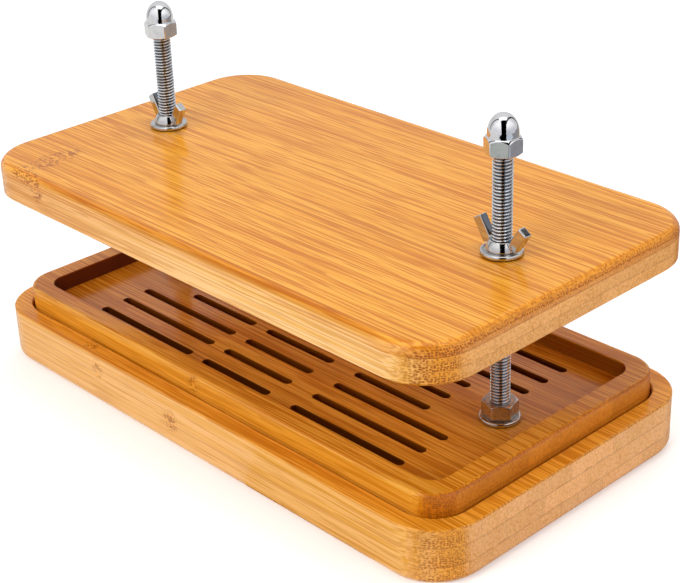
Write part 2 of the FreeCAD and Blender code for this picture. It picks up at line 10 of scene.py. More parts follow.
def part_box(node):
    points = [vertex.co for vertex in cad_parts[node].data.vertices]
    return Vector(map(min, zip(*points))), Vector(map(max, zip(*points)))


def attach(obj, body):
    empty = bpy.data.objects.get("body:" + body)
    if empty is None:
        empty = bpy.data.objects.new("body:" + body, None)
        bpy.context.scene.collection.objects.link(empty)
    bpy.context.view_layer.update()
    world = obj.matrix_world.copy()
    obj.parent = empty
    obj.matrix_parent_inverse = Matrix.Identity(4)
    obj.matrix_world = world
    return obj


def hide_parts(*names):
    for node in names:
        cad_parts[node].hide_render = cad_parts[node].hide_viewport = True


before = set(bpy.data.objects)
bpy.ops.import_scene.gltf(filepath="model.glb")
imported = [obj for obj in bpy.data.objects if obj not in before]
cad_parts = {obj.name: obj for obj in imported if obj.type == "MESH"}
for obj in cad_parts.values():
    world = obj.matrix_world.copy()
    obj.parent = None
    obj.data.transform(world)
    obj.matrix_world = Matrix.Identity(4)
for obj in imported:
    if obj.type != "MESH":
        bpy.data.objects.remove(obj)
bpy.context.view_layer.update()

bl_info = {
    "name": "Tofu Press",
    "version": (1, 0, 0),
    "blender": (4, 5, 0),
    "location": "View3D > Sidebar > Tofu Press",
    "description": "Dresses a bamboo tofu press: laminated bamboo, cut threads and plated hardware",
    "category": "Object",
}

SIDES = ("left", "right")


# ---- Settings ----


def length(name, description, default):
    """A length, in metres, which never goes under a quarter of its default."""
    return FloatProperty(name=name, description=description, default=default, min=default / 4,
                         unit="LENGTH")


def two_lengths(name, description, default):
    """Two lengths, in metres, with the same limit for both."""
    return FloatVectorProperty(name=name, description=description, default=default, size=2,
                               min=min(default) / 4, unit="LENGTH")


def two_turns(name, description, left, right):
    """How the left and the right one of two like pieces were left, in degrees."""
    return FloatVectorProperty(name=name, description=description, size=2, subtype="EULER",
                               default=(math.radians(left), math.radians(right)))


def angle(name, description, degrees):
    """An angle, given in degrees."""
    return FloatProperty(name=name, description=description, default=math.radians(degrees),
                         subtype="ANGLE")


def swatch(name, description, default):
    """A colour."""
    return FloatVectorProperty(name=name, description=description, default=default, size=3,
                               min=0, max=1, subtype="COLOR")


def lamp_power(name, description, default):
    """The power of a lamp, in watts."""
    return FloatProperty(name=name, description=description, default=default, min=0,
                         unit="POWER")


class HardwareSizes(PropertyGroup):
    """Sizes of the M6 hardware. They follow the solid model."""

    thread_diameter: length("Thread Diameter", "Outside diameter of the bolts' thread", 0.00596)
    thread_pitch: length("Pitch", "Rise of the thread in one turn", 0.001)
    thread_depth: length("Thread Depth", "From the crest to the root", 0.00052)
    thread_steps: IntProperty(name="Thread Steps", description="Faces in one turn of the thread",
                              default=28, min=12, max=64)
    nut_bore: length("Nut Bore", "Diameter of the hole through every nut", 0.00604)
    hexagon_flats: length("Across Flats", "Width of the hexagons across their flats", 0.0097)
    hexagon_bevel: two_lengths(
        "Corner Bevel", "Turned bevel of a hexagon: cut into a corner, and drop",
        (0.0009, 0.00052))
    cap_bevel: two_lengths(
        "Cap Bevel", "Bevel under a cap nut's dome: cut into a corner, and drop",
        (0.00095, 0.00095))
    corner_round: length("Corner Rounding", "Width of a hexagon's rounded corners", 0.00028)
    edge_break: length("Edge Break", "Width of the softened edges", 0.00013)
    washer_bore: length("Washer Bore", "Hole in the washers", 0.0064)
    washer_round: length("Washer Rounding", "Width of the washers' rounded rims", 0.0006)
    head_height: length("Head Height", "Height of the bolts' heads", 0.004)
    cap_hexagon: length("Cap Hexagon", "Height of a cap nut's hexagon", 0.0051)
    cap_neck: length("Cap Neck", "Straight part of a cap nut's dome", 0.0009)
    cap_rise: length("Cap Rise", "Height of the dome over its straight part", 0.0056)
    cap_diameter: length("Cap Diameter", "Diameter of a cap nut's dome", 0.00895)
    cap_bore: length("Cap Bore", "Depth of a cap nut's blind hole", 0.008)
    wing_foot_diameter: length("Foot Diameter", "Widest part of a wing nut's body", 0.0094)
    wing_top_diameter: length("Top Diameter", "Top of a wing nut's body", 0.007)
    wing_foot_height: length("Foot Height", "Straight foot of a wing nut's body", 0.0005)
    wing_body_height: length("Body Height", "Height of a wing nut's body", 0.003)
    wing_root: two_lengths(
        "Wing Root", "Middle of a wing's root: from the axis, and up", (0.0045, 0.0012))
    wing_tip: two_lengths(
        "Wing Tip", "Middle of a wing's tip: from the axis, and up", (0.0086, 0.0076))
    wing_depth: length("Wing Depth", "Depth of a wing, square to its length", 0.00325)
    wing_thickness: length("Wing Thickness", "Thickness of a wing", 0.00255)
    wing_round: length("Wing Rounding", "How far a wing nut's edges are worn round", 0.00045)
    wing_turn: two_turns("Wing Nuts' Turn", "How the wing nuts were left", -5.6, -1.8)
    cap_turn: two_turns("Cap Nuts' Turn", "How the cap nuts were left", 36.8, 29.4)
    nut_turn: two_turns("Hex Nuts' Turn", "How the hexagons were left", 44.6, 44.6)


class BambooLook(PropertyGroup):
    """Colours and scale of the laminated bamboo."""

    light: swatch("Light Fibre", "Palest bands of the grain", (0.93, 0.415, 0.044))
    honey: swatch("Honey", "Main colour of the bamboo", (0.82, 0.315, 0.016))
    caramel: swatch("Caramel", "Dark streaks of the grain", (0.60, 0.175, 0.003))
    bundle: swatch("Fibre Bundles", "Dark dots of the cut ends", (0.37, 0.095, 0.003))
    strip_width: FloatProperty(
        name="Strip Width", description="Width of one bamboo strip in a layer, in millimetres",
        default=19.0, min=4.0)
    bundle_spacing: FloatProperty(
        name="Bundle Spacing", description="Distance between fibre bundles, in millimetres",
        default=0.70, min=0.3)


class SteelLook(PropertyGroup):
    """Finish of the plated hardware."""

    plate: swatch("Plate", "Colour of the plated nuts and washers", (0.60, 0.595, 0.59))
    thread: swatch("Thread", "Colour of the bolts", (0.76, 0.82, 0.87))
    dome: swatch("Dome", "Colour of the cap nuts", (0.76, 0.76, 0.775))
    tarnish: swatch("Tarnish", "Colour of the dull film on the steel", (0.40, 0.40, 0.41))


class StudioSetup(PropertyGroup):
    """Camera and lights."""

    azimuth: angle("Azimuth", "Direction of the camera, from -Y towards +X", 47.299)
    elevation: angle("Elevation", "Height of the camera above the horizon", 26.792)
    roll: angle("Roll", "Lean of the camera about its own axis", -2.186)
    distance: length("Distance", "From the camera to its target", 0.51598)
    target: FloatVectorProperty(
        name="Target", description="Point in the middle of the picture",
        default=(0.006462, 0.002463, 0.037213), size=3, subtype="XYZ", unit="LENGTH")
    lens: FloatProperty(
        name="Lens", description="Focal length in millimetres on a 36 mm sensor",
        default=85.866, min=10)
    key_power: lamp_power("Key", "Power of the large soft lamp", 9.0)
    fill_power: lamp_power("Fill", "Power of the lamp on the far side", 4.35)
    top_power: lamp_power("Top", "Power of the overhead lamp", 5.8)
    ambient: FloatProperty(
        name="Ambient", description="Strength of the light from all round",
        default=0.35, min=0)


# ---- Modelling helpers ----

PAST = 0.001        # how far a tool reaches past what it cuts or joins, in metres
ROUND_SIDES = 96    # sides of the large round shapes
HOLE_SIDES = 64     # sides of the holes and of the bolts


def leave_edit_mode():
    """Go back to object mode."""
    bpy.ops.object.mode_set(mode="OBJECT")


def clear_selection():
    """Leave object mode with nothing selected, ready for a new primitive."""
    if bpy.context.object and bpy.context.object.mode != "OBJECT":
        leave_edit_mode()
    bpy.ops.object.select_all(action="DESELECT")


def activate(piece):
    """Make one piece the only selected and the active object."""
    clear_selection()
    piece.select_set(True)
    bpy.context.view_layer.objects.active = piece


def edit_whole(piece):
    """Enter edit mode with all of a piece selected."""
    activate(piece)
    bpy.ops.object.mode_set(mode="EDIT")
    bpy.ops.mesh.select_all(action="SELECT")


def select_parts(piece, kind, test):
    """Enter edit mode with only those vertices, edges or faces selected that pass a test."""
    activate(piece)
    bpy.ops.object.mode_set(mode="EDIT")
    bpy.ops.mesh.select_mode(type=kind)
    bpy.ops.mesh.select_all(action="DESELECT")
    leave_edit_mode()
    parts = {"VERT": piece.data.vertices, "EDGE": piece.data.edges,
             "FACE": piece.data.polygons}[kind]
    for part in parts:
        part.select = test(part)
    bpy.ops.object.mode_set(mode="EDIT")


def extrude_up(height):
    """Extrude what is selected along Z."""
    bpy.ops.mesh.extrude_region_move(TRANSFORM_OT_translate={"value": (0, 0, height)})


def cut_away(piece, test):
    """Delete the faces that pass a test."""
    select_parts(piece, "FACE", test)
    bpy.ops.mesh.delete(type="FACE")
    leave_edit_mode()


def edge_rise(piece, edge):
    """How far an edge climbs from one end to the other."""
    first, second = (piece.data.vertices[i].co.z for i in edge.vertices)
    return abs(first - second)


def place_in_mesh(piece):
    """Put the piece's place and turn into its mesh, so its object sits at the origin."""
    activate(piece)
    bpy.ops.object.transform_apply(location=True, rotation=True, scale=True)


def add_piece(primitive, **settings):
    """Add a primitive, selected alone, with its place in its mesh."""
    clear_selection()
    primitive(**settings)
    piece = bpy.context.object
    place_in_mesh(piece)
    return piece


def apply_modifier(piece, modifier):
    """Make a modifier's result the piece's own mesh."""
    activate(piece)
    bpy.ops.object.modifier_apply(modifier=modifier.name)


def close_mesh(piece, gap=1e-6):
    """Merge vertices nearer than a gap and turn every face outwards."""
    edit_whole(piece)
    bpy.ops.mesh.remove_doubles(threshold=gap)
    bpy.ops.mesh.normals_make_consistent(inside=False)
    leave_edit_mode()


def combine(piece, other, operation):
    """Join, cut or intersect a piece with another one, which is used up."""
    cut = piece.modifiers.new("Combine", "BOOLEAN")
    cut.operation = operation
    cut.solver = "EXACT"
    cut.object = other
    apply_modifier(piece, cut)
    bpy.data.objects.remove(other)


def soften(piece, width):
    """Break the piece's edges and shade it smooth between the edges that stay sharp."""
    close_mesh(piece, gap=2e-5)
    bevel = piece.modifiers.new("Edge Break", "BEVEL")
    bevel.width = width
    bevel.segments = 3
    bevel.limit_method = "ANGLE"
    bevel.angle_limit = math.radians(30)
    bevel.use_clamp_overlap = False
    apply_modifier(piece, bevel)
    bpy.ops.object.shade_smooth_by_angle(angle=math.radians(40))
    even = piece.modifiers.new("Even Shading", "WEIGHTED_NORMAL")
    even.keep_sharp = True
    apply_modifier(piece, even)


def finish_piece(piece, node, body, material):
    """Give a finished piece its finish and let it stand for a CAD node."""
    piece.name = node + "_finish"
    piece.data.name = piece.name
    piece.data.materials.clear()
    piece.data.materials.append(material)
    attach(piece, body)
    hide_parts(node)


def node_axis(node):
    """The upright axis of a round or hexagonal CAD node, and its lowest and highest level."""
    low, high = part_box(node)
    return Vector(((low.x + high.x) / 2, (low.y + high.y) / 2, 0)), low.z, high.z


def stand_copies(pattern, bodies, material, turns=(0.0, 0.0)):
    """Copy a piece that was modelled at the origin to the left and the right CAD node of each
    kind, and remove the pattern. bodies gives each kind's body, in which {} is the side."""
    for kind, body in bodies.items():
        for side, turn in zip(SIDES, turns):
            axis, foot, _ = node_axis(kind + side)
            activate(pattern)
            bpy.ops.object.duplicate()
            piece = bpy.context.object
            piece.location = (axis.x, axis.y, foot)
            piece.rotation_euler = (0, 0, turn)
            place_in_mesh(piece)
            finish_piece(piece, kind + side, body.format(side), material)
    bpy.data.objects.remove(pattern)


def upright_cylinder(low, high, radius, sides):
    """A closed cylinder about the upright axis through the origin."""
    return add_piece(bpy.ops.mesh.primitive_cylinder_add, vertices=sides, radius=radius,
                     depth=high - low, location=(0, 0, (low + high) / 2))


def cut_bore(piece, high, diameter):
    """Cut a round hole about the upright axis, from below the origin up to a level."""
    combine(piece, upright_cylinder(-PAST, high, diameter / 2, HOLE_SIDES), "DIFFERENCE")


def hexagon_blank(height, sizes, top=None, foot=None):
    """A hexagon on the origin, a corner on +X, with its corners rounded and turned off.

    top and foot are bevels: how far one cuts into a corner, and how far it drops there."""
    corner = sizes.hexagon_flats / math.sqrt(3)
    bar = add_piece(bpy.ops.mesh.primitive_cylinder_add, vertices=6, radius=corner, depth=height,
                    location=(0, 0, height / 2), rotation=(0, 0, math.radians(30)))
    select_parts(bar, "EDGE", lambda edge: edge_rise(bar, edge) > 1e-4)
    bpy.ops.mesh.bevel(offset=sizes.corner_round, segments=4, affect="EDGES")
    leave_edit_mode()
    for bevel, level, way in ((top, height, 1), (foot, 0.0, -1)):
        if bevel is None:
            continue
        # a cone that only reaches the bar near its corners
        cut, drop = bevel
        inner, outer = corner - cut, corner + cut
        radius1, radius2 = (outer, inner) if way > 0 else (inner, outer)
        cone = add_piece(bpy.ops.mesh.primitive_cone_add, vertices=ROUND_SIDES, radius1=radius1,
                         radius2=radius2, depth=2 * drop, location=(0, 0, level - way * drop))
        # the rest of the bar stays whole
        select_parts(cone, "FACE",
                     lambda f: f.normal.z * way < -0.9 and (f.center.z - level) * way < 0)
        extrude_up(-way * height)
        leave_edit_mode()
        combine(bar, cone, "INTERSECT")
    return bar


# ---- Material helpers ----


def feed(socket, value):
    """Link a socket to another one, or set its own value."""
    if isinstance(value, bpy.types.NodeSocket):
        socket.id_data.links.new(value, socket)
    else:
        socket.default_value = value


def feed_all(target, values):
    """Feed several of a node's inputs, by name or number."""
    for name, value in values.items():
        feed(target.inputs[name], value)


def node(kind, inputs, **settings):
    """Add a shader node to the tree that its linked inputs belong to."""
    tree = next(v.id_data for v in inputs.values() if isinstance(v, bpy.types.NodeSocket))
    new = tree.nodes.new(kind)
    for name, value in settings.items():
        setattr(new, name, value)
    feed_all(new, inputs)
    return new


def calc(operation, *values):
    """One Math node; gives its output."""
    return node("ShaderNodeMath", dict(enumerate(values)), operation=operation).outputs[0]


def times(first, second):
    """The product of two values."""
    return calc("MULTIPLY", first, second)


def scale_add(value, factor, offset):
    """A value times a factor, plus an offset."""
    return calc("MULTIPLY_ADD", value, factor, offset)


def vector_calc(operation, *values):
    """One Vector Math node; gives its outputs, a vector and a value."""
    return node("ShaderNodeVectorMath", dict(enumerate(values)), operation=operation).outputs


def axes(x, y, z):
    """A vector from three values."""
    return node("ShaderNodeCombineXYZ", {"X": x, "Y": y, "Z": z}).outputs[0]


def split(vector):
    """The three values of a vector."""
    return node("ShaderNodeSeparateXYZ", {0: vector}).outputs


def stretched(vector, scale):
    """A vector scaled along each axis."""
    return node("ShaderNodeMapping", {0: vector, "Scale": scale}).outputs[0]


def ease(value, start, end):
    """A smooth step from nothing to one as the value goes from start to end."""
    return node("ShaderNodeMapRange", {"Value": value, "From Min": start, "From Max": end},
                interpolation_type="SMOOTHSTEP").outputs["Result"]


def mix_colour(factor, first, second, mode="MIX"):
    """Mix two colours; gives the result."""
    return node("ShaderNodeMix", {0: factor, 6: first, 7: second}, data_type="RGBA",
                blend_type=mode).outputs[2]


def shade_colour(mask, colour, shade):
    """Multiply a colour by a shade, as far as the mask says."""
    return mix_colour(mask, colour, shade, "MULTIPLY")


def noise(vector, scale, detail=2.0, roughness=0.5, distortion=0.0):
    """A noise pattern from about 0 to 1."""
    return node("ShaderNodeTexNoise",
                {"Vector": vector, "Scale": scale, "Detail": detail, "Roughness": roughness,
                 "Distortion": distortion}).outputs["Fac"]


def new_group(name, inputs, outputs):
    """A shader group: its tree, what it is given, and where its results go. Its sockets are
    listed as a kind and the names of that kind."""
    tree = bpy.data.node_groups.new(name, "ShaderNodeTree")
    for way, kinds in (("INPUT", inputs), ("OUTPUT", outputs)):
        for kind, labels in kinds.items():
            for label in labels:
                tree.interface.new_socket(name=label, in_out=way, socket_type="NodeSocket" + kind)
    return tree, tree.nodes.new("NodeGroupInput").outputs, tree.nodes.new("NodeGroupOutput")


def new_material(name):
    """A material with a plain shader: the material, its tree and its shader."""
    material = bpy.data.materials.new(name)
    material.use_nodes = True
    return material, material.node_tree, material.node_tree.nodes["Principled BSDF"]


def where_in_piece(tree):
    """The object coordinates in millimetres, and the normal."""
    where = tree.nodes.new("ShaderNodeTexCoord").outputs
    return stretched(where["Object"], (1000,) * 3), where["Normal"]


# ---- Bamboo ----

# the long fibres: width and length of a noise in millimetres, and its detail
FIBRES = {"bands": (9.0, 300.0, 1.0), "streaks": (3.2, 220.0, 1.0), "threads": (0.82, 100.0, 1.0),
          "lines": (0.85, 62.0, 0.0), "dashes": (0.52, 18.0, 0.0)}
WANDER = 2.2        # how far the fibres wander sideways, in millimetres
LAYER_SHIFT = 7.3   # how far the strips of one layer stand off those below, in millimetres
STRIP_JUMP = 60.0   # how far the noise may be moved from strip to strip, in millimetres
CORNER_SHADE = (0.91, 0.76, 0.20, 1)

# a flecked mark where a joint of the bamboo crosses the surface, in millimetres
Knuckle = namedtuple("Knuckle", "centre reach slant strength", defaults=(0.0, 0.9))
# a darker part of a piece: a box with a soft edge, the colour that multiplies the bamboo there,
# and how far upright and level faces take it; used both for darker tones of the bamboo and for
# painted shade
Shade = namedtuple("Shade", "centre half soft colour upright level", defaults=(1.0, 0.0))


def bamboo_group(look):
    """Laminated bamboo: strips side by side in layers, long fibres, and dots on the cut ends.

    The fibres run along X. All lengths are in millimetres."""
    tree, given, out = new_group(
        "Laminated Bamboo",
        {"Vector": ("Position", "Normal"),
         "Float": ("Foot", "Layer", "Strip", "Seed", "Contrast", "Dots"),
         "Color": ("Light", "Honey", "Caramel", "Bundle", "Side Tone", "End Tone")},
        {"Color": ("Color",), "Float": ("Roughness", "Height")})
    x, y, z = split(given["Position"])
    seed = given["Seed"]

    def swing(value, weight):
        return times(calc("SUBTRACT", value, 0.5), weight)

    # which way the surface is cut: across the fibres, along a side, or round an upright corner
    facing = split(given["Normal"])
    endwise = calc("ABSOLUTE", facing[0])
    cut_end = ease(endwise, 0.25, 0.65)
    cut_side = ease(calc("ABSOLUTE", facing[1]), 0.55, 0.95)
    corner = times(ease(endwise, 0.22, 0.45), ease(endwise, 1.0, 0.93))

    # the fibres wander a little along their length
    drift = noise(axes(times(x, 0.008), scale_add(y, 0.02, seed), times(z, 0.05)), 1.0, 1.0)
    y = calc("ADD", y, swing(drift, WANDER))

    # layer and strip under this point, each with its own random tone
    layers = calc("DIVIDE", calc("SUBTRACT", z, given["Foot"]), given["Layer"])
    layer, depth = calc("FLOOR", layers), calc("FRACT", layers)
    far_back = calc("ADD", y, 500.0)
    strips = calc("DIVIDE", scale_add(layer, LAYER_SHIFT, far_back), given["Strip"])
    strip, across = calc("FLOOR", strips), calc("FRACT", strips)
    random = node("ShaderNodeTexWhiteNoise", {"Vector": axes(strip, layer, seed)},
                  noise_dimensions="3D")
    tones = node("ShaderNodeSeparateColor", {0: random.outputs["Color"]}).outputs

    # noise drawn out along X, that starts anew in every strip
    shift_y = scale_add(tones[0], STRIP_JUMP, y)
    shift_z = scale_add(tones[1], STRIP_JUMP, z)

    def fibres(width, reach, detail):
        drawn = axes(times(x, width / reach), shift_y, shift_z)
        return noise(drawn, 1.0 / width, detail, 0.55)

    bands, streaks, threads, lines, dashes = (fibres(*size) for size in FIBRES.values())

    # fibre bundles: dots across the grain, closer and smaller towards the skin of a layer
    def bundles(density, edge, core):
        drawn = axes(times(x, 0.03), shift_y, shift_z)
        cells = node("ShaderNodeTexVoronoi",
                     {"Vector": drawn, "Scale": density / look.bundle_spacing,
                      "Randomness": 0.55}, feature="F1")
        return ease(cells.outputs["Distance"], edge, core)

    dots = mix_colour(ease(depth, 0.45, 0.8), bundles(1.0, 0.54, 0.30), bundles(1.35, 0.56, 0.32))
    on_rounding = times(cut_end, scale_add(corner, 0.85, 0.15))
    dots = times(dots, times(on_rounding, given["Dots"]))

    # calm: how strongly the grain shows, weaker on the sides and on the cut ends
    calm = scale_add(cut_side, -0.35, 1.0)
    calm = times(calm, scale_add(cut_end, -0.55, 1.0))
    calm = times(calm, given["Contrast"])

    # one tone value runs from caramel through honey to the pale fibres
    spread = swing(bands, 0.62)
    for pattern, weight in ((streaks, 0.24), (threads, 1.6), (tones[2], 0.12)):
        spread = calc("ADD", spread, swing(pattern, weight))
    tone = scale_add(spread, calm, 0.72)
    colour = mix_colour(ease(tone, 0.14, 0.56), given["Caramel"], given["Honey"])
    colour = mix_colour(ease(tone, 0.50, 0.86), colour, given["Light"])
    thin = calc("MAXIMUM", times(ease(lines, 0.55, 0.67), 0.85),
                times(ease(dashes, 0.55, 0.66), 0.80))
    thin = times(thin, calm)
    colour = mix_colour(thin, colour, given["Caramel"])

    # tones of the sides, the cut ends, the corners and each block of a cut end
    colour = shade_colour(cut_side, colour, given["Side Tone"])
    colour = shade_colour(cut_end, colour, given["End Tone"])
    colour = shade_colour(corner, colour, CORNER_SHADE)
    block = calc("ADD", swing(tones[2], 0.14), 1.0)
    blocks = node("ShaderNodeHueSaturation", {"Color": colour, "Value": block}).outputs[0]
    colour = mix_colour(cut_end, colour, blocks)
    colour = mix_colour(dots, colour, given["Bundle"])

    # glue lines, which waver under the layers and stand upright between the strips
    under = ease(scale_add(swing(streaks, 1.0), 0.25, depth), 0.12, 0.05)
    between = times(ease(across, 0.014, 0.004), 0.7)
    seam = times(calc("MAXIMUM", under, between), scale_add(cut_end, 0.30, 0.05))
    colour = mix_colour(seam, colour, given["Bundle"])

    rough = scale_add(cut_end, 0.20, scale_add(streaks, 0.10, 0.13))
    height = scale_add(dots, -0.15, times(thin, -0.4))
    feed_all(out, {"Color": colour, "Roughness": rough,
                   "Height": scale_add(seam, -0.15, height)})
    return tree


def knuckle_group():
    """The flecked ring of a bamboo joint where it crosses a strip, with painted glints beside the
    flecks.
    """
    tree, given, out = new_group(
        "Bamboo Knuckle",
        {"Vector": ("Position", "Centre", "Reach"), "Float": ("Slant", "Strength", "Height"),
         "Color": ("Color", "Fleck", "Glint")},
        {"Color": ("Color",), "Float": ("Height",)})
    away = split(vector_calc("SUBTRACT", given["Position"], given["Centre"])[0])
    leant = axes(scale_add(away[1], given["Slant"], away[0]), away[1], away[2])
    scaled = vector_calc("DIVIDE", leant, given["Reach"])[0]
    distance = vector_calc("LENGTH", scaled)["Value"]
    patch = noise(given["Position"], 0.35)
    inside = ease(calc("ADD", patch, distance), 1.6, 1.0)
    inside = times(inside, given["Strength"])
    grains = noise(stretched(given["Position"], (0.55, 0.95, 0.95)), 1.0, 1.0, 0.6, 1.2)
    flecks = times(inside, ease(grains, 0.49, 0.57))
    # painted highlight: pale glints mixed in beside the dark flecks
    painted_glints = times(inside, ease(grains, 0.45, 0.36))
    colour = mix_colour(times(flecks, 0.85), given["Color"], given["Fleck"])
    colour = mix_colour(times(painted_glints, 0.55), colour, given["Glint"])
    feed_all(out, {"Color": colour, "Height": scale_add(flecks, -0.2, given["Height"])})
    return tree


def box_mask(position, centre, half, soft):
    """One inside a box, nothing outside it, with a soft edge as wide as it says along each axis."""
    size = vector_calc("ABSOLUTE", vector_calc("SUBTRACT", position, centre)[0])[0]
    past = vector_calc("SUBTRACT", size, half)[0]
    past = split(vector_calc("DIVIDE", past, soft)[0])
    furthest = calc("MAXIMUM", calc("MAXIMUM", past[0], past[1]), past[2])
    return ease(furthest, 0.5, -0.5)


def bamboo_material(name, foot, layer, seed, tint=(1, 1, 1), side=(1, 1, 1), end=(1, 1, 1),
                    knuckles=(), shades=(), contrast=1.0, dots=1.0):
    """One bamboo finish: the shared grain with this piece's own layers, tones and knuckles.

    foot and layer are the level of the lowest glue line and the thickness of a layer."""
    look = bpy.context.scene.press_bamboo
    grain = bpy.data.node_groups.get("Laminated Bamboo") or bamboo_group(look)
    ring = bpy.data.node_groups.get("Bamboo Knuckle") or knuckle_group()
    material, tree, shader = new_material(name)
    millimetres, normal = where_in_piece(tree)
    light, honey, caramel, bundle = (
        tuple(c * t for c, t in zip(colour, tint)) + (1,)
        for colour in (look.light, look.honey, look.caramel, look.bundle))
    wood = node("ShaderNodeGroup", {
        "Position": millimetres, "Normal": normal, "Foot": foot, "Layer": layer,
        "Strip": look.strip_width, "Seed": seed, "Contrast": contrast, "Dots": dots,
        "Light": light, "Honey": honey, "Caramel": caramel, "Bundle": bundle,
        "Side Tone": (*side, 1), "End Tone": (*end, 1)}, node_tree=grain).outputs
    colour, height = wood["Color"], wood["Height"]
    for knuckle in knuckles:
        mark = node("ShaderNodeGroup", {
            "Position": millimetres, "Centre": knuckle.centre, "Reach": knuckle.reach,
            "Slant": knuckle.slant, "Strength": knuckle.strength, "Color": colour,
            "Fleck": bundle, "Glint": light, "Height": height}, node_tree=ring).outputs
        colour, height = mark["Color"], mark["Height"]
    # darker boxes: some are tones of the bamboo, some are painted shade
    for shade in shades:
        level_face = calc("ABSOLUTE", split(normal)[2])
        share = scale_add(level_face, shade.level - shade.upright, shade.upright)
        mask = box_mask(millimetres, shade.centre, shade.half, shade.soft)
        colour = shade_colour(times(mask, share), colour, (*shade.colour, 1))
    bump = node("ShaderNodeBump", {"Height": height, "Strength": 0.3, "Distance": 0.00008})
    feed_all(shader, {"Base Color": colour, "Roughness": wood["Roughness"],
                      "Normal": bump.outputs[0], "IOR": 1.5, "Specular IOR Level": 0.34})
    return material


def dress_cad_node(name, material):
    """Give a CAD node that already has the right shape its finish."""
    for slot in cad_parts[name].material_slots:
        slot.material = material


class PRESS_OT_drip_tray(Operator):
    """Give the drip tray its laminated bamboo"""

    bl_idname = "press.drip_tray"
    bl_label = "Drip Tray"

    def execute(self, context):
        dress_cad_node("base_tray", bamboo_material(
            "Bamboo, drip tray", foot=0.0, layer=6.07, seed=3.0,
            side=(1.0, 1.23, 3.9), end=(0.99, 1.17, 4.6), dots=0.8, contrast=0.85,
            knuckles=(Knuckle((-46.0, -57.0, 13.5), (3.0, 4.0, 4.5), strength=0.8),
                      Knuckle((-53.0, -52.5, 18.0), (3.5, 4.5, 3.0)),
                      Knuckle((-8.5, -57.0, 9.5), (3.5, 3.0, 4.5)))))
        return {"FINISHED"}


class PRESS_OT_strainer_tray(Operator):
    """Give the strainer tray its laminated bamboo"""

    bl_idname = "press.strainer_tray"
    bl_label = "Strainer Tray"

    def execute(self, context):
        # painted shade: the recess is darker than the outside where the board above shades it: its
        # walls and a little of its floor, the walls of the slots, and most of all the wall at the
        # left end
        recess, floor = (91.4, 44.5, 4.5), (91.4, 44.5, 4.9)
        dress_cad_node("strainer_tray", bamboo_material(
            "Bamboo, strainer tray", foot=12.4, layer=6.3, seed=11.0, tint=(0.91, 0.93, 0.98),
            end=(0.82, 0.64, 0.36), knuckles=(Knuckle((-4.0, -50.6, 21.0), (3.5, 3.0, 3.5)),),
            shades=(Shade((0, 0, 20.0), recess, (0.8,) * 3, (0.39, 0.27, 0.14), level=0.17),
                    Shade((0, 0, 14.0), floor, (1.2,) * 3, (0.46, 0.34, 0.22)),
                    Shade((-92.0, 0.0, 21.0), (3.0, 46.0, 3.9), (1.0, 2.0, 0.6),
                          (0.55, 0.36, 0.28)))))
        return {"FINISHED"}


class PRESS_OT_press_board(Operator):
    """Give the press board its laminated bamboo"""

    bl_idname = "press.press_board"
    bl_label = "Press Board"

    def execute(self, context):
        # the left corner has a joint of the bamboo across its top, its edge and its front
        knuckles = (Knuckle((-79.5, -43.0, 73.0), (5.0, 14.0, 1.5), slant=0.10, strength=1.0),
                    Knuckle((-76.5, -55.5, 72.0), (8.5, 3.5, 2.8), strength=1.0),
                    Knuckle((-69.5, -57.0, 69.0), (3.6, 3.0, 4.2), strength=1.0))
        top_layer = Shade((0, 0, 73.0), (90.0, 70.0, 3.6), (0.5,) * 3, (0.96, 0.88, 0.72))
        right_end = Shade((100.0, 0, 73.0), (18.0, 70.0, 3.6), (10.0, 1.0, 0.4),
                          (0.86, 0.70, 0.42))
        # painted shade: the front face darker towards the left, where less light falls
        left_front_painted_shade = Shade((-95.0, -57.0, 67.0), (68.0, 5.0, 10.0), (110.0, 2.0, 2.0),
                           (0.84, 0.69, 0.48))
        # the amber strip along the top front edge: partly the edge's own grain, partly a painted
        # reflection, darker and more saturated where the roundover mirrors no bright surround
        amber_edge_with_painted_reflection = Shade((7.0, -58.0, 73.4), (76.0, 3.9, 2.0), (8.0, 0.8, 0.9),
                           (0.80, 0.67, 0.32), level=1.0)
        line_below = Shade((7.0, -58.0, 70.7), (76.0, 6.0, 0.14), (8.0, 1.0, 0.2),
                           (0.66, 0.48, 0.40))
        dress_cad_node("press_board", bamboo_material(
            "Bamboo, press board", foot=61.35, layer=4.0, seed=27.0,
            side=(1.02, 1.36, 5.2), end=(0.99, 1.12, 3.4), knuckles=knuckles,
            shades=(top_layer, right_end, left_front_painted_shade, amber_edge_with_painted_reflection, line_below)))
        return {"FINISHED"}


# ---- Hardware ----

PAINTED_GROOVE_SHADE = (0.15, 0.155, 0.17, 1)     # painted shade between the threads
PAINTED_INNER_REFLECTION = (0.13, 0.145, 0.17, 1)        # painted reflection: dark on the wing nuts' faces towards the bolts
PAINTED_CONTACT_SHADOW = (0.05, 0.03, 0.02, 1)         # painted shadow along the washers' lower edges


def steel_group():
    """Plated steel: a cloudy film, specks and fine scratches."""
    tree, given, out = new_group(
        "Plated Steel",
        {"Vector": ("Position",), "Color": ("Plate", "Tarnish"), "Float": ("Film", "Polish")},
        {"Color": ("Color",), "Float": ("Roughness", "Height")})
    clouds = noise(given["Position"], 0.35, 3.0, 0.6)
    specks = noise(given["Position"], 2.2)
    film = times(ease(clouds, 0.42, 0.72), given["Film"])
    speck = times(times(ease(specks, 0.62, 0.75), 0.25), given["Film"])
    mask = calc("MAXIMUM", film, speck)
    scratches = noise(stretched(given["Position"], (1.0, 1.0, 9.0)), 1.6, 3.0, 0.6)
    feed_all(out, {"Color": mix_colour(mask, given["Plate"], given["Tarnish"]),
                   "Roughness": scale_add(mask, 0.25, given["Polish"]), "Height": scratches})
    return tree


